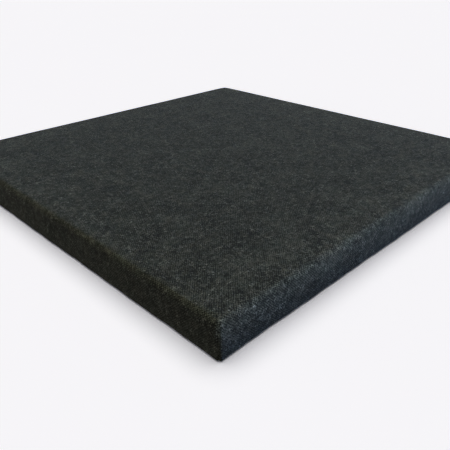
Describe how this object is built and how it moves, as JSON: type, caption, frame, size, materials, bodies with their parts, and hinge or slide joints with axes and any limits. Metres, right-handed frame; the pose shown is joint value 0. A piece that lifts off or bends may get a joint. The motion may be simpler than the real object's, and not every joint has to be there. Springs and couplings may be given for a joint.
{
  "type": "fabric acoustic panel",
  "caption": "Square fabric-wrapped sound-absorbing panel on a timber frame, with a mineral wool core and swinging D-ring hangers in its hollow back.",
  "frame": {"origin": "middle of the plane that the four felt pads stand on", "axes": "+Z out of the fabric front, +Y to the edge that is the top when the panel hangs, +X to the right seen from the front"},
  "size_m": [0.6, 0.6, 0.0443],
  "materials": {
    "fabric": "matte",
    "wadding": "matte",
    "mineral_wool": "matte",
    "scrim": "matte",
    "softwood": "matte",
    "plywood": "satin",
    "zinc_steel": "satin",
    "felt": "matte"
  },
  "bodies": {
    "panel": {"fabric_cover": "fabric", "wadding_sheet": "wadding", "mineral_wool_core": "mineral_wool", "rear_scrim": "scrim", "top_rail": "softwood", "bottom_rail": "softwood", "left_stile": "softwood", "right_stile": "softwood", "gusset_bottom_left": "plywood", "gusset_bottom_right": "plywood", "gusset_top_left": "plywood", "gusset_top_right": "plywood", "lap_screw_bottom_left": "zinc_steel", "lap_screw_bottom_right": "zinc_steel", "lap_screw_top_left": "zinc_steel", "lap_screw_top_right": "zinc_steel", "hanger_strap_left": "zinc_steel", "hanger_strap_right": "zinc_steel", "strap_screw_left_upper": "zinc_steel", "strap_screw_left_lower": "zinc_steel", "strap_screw_right_upper": "zinc_steel", "strap_screw_right_lower": "zinc_steel", "wall_pad_bottom_left": "felt", "wall_pad_bottom_right": "felt", "wall_pad_top_left": "felt", "wall_pad_top_right": "felt"},
    "ring_left": {"d_ring_left": "zinc_steel"},
    "ring_right": {"d_ring_right": "zinc_steel"}
  },
  "joints": [
    {"name": "d_ring_swing_left", "type": "hinge", "parent": "panel", "child": "ring_left", "pos_m": [-0.2499, 0.2579, 0.0059], "axis": [-1, 0, 0], "range_deg": [0, 170]},
    {"name": "d_ring_swing_right", "type": "hinge", "parent": "panel", "child": "ring_right", "pos_m": [0.2499, 0.2579, 0.0059], "axis": [-1, 0, 0], "range_deg": [0, 170]}
  ]
}
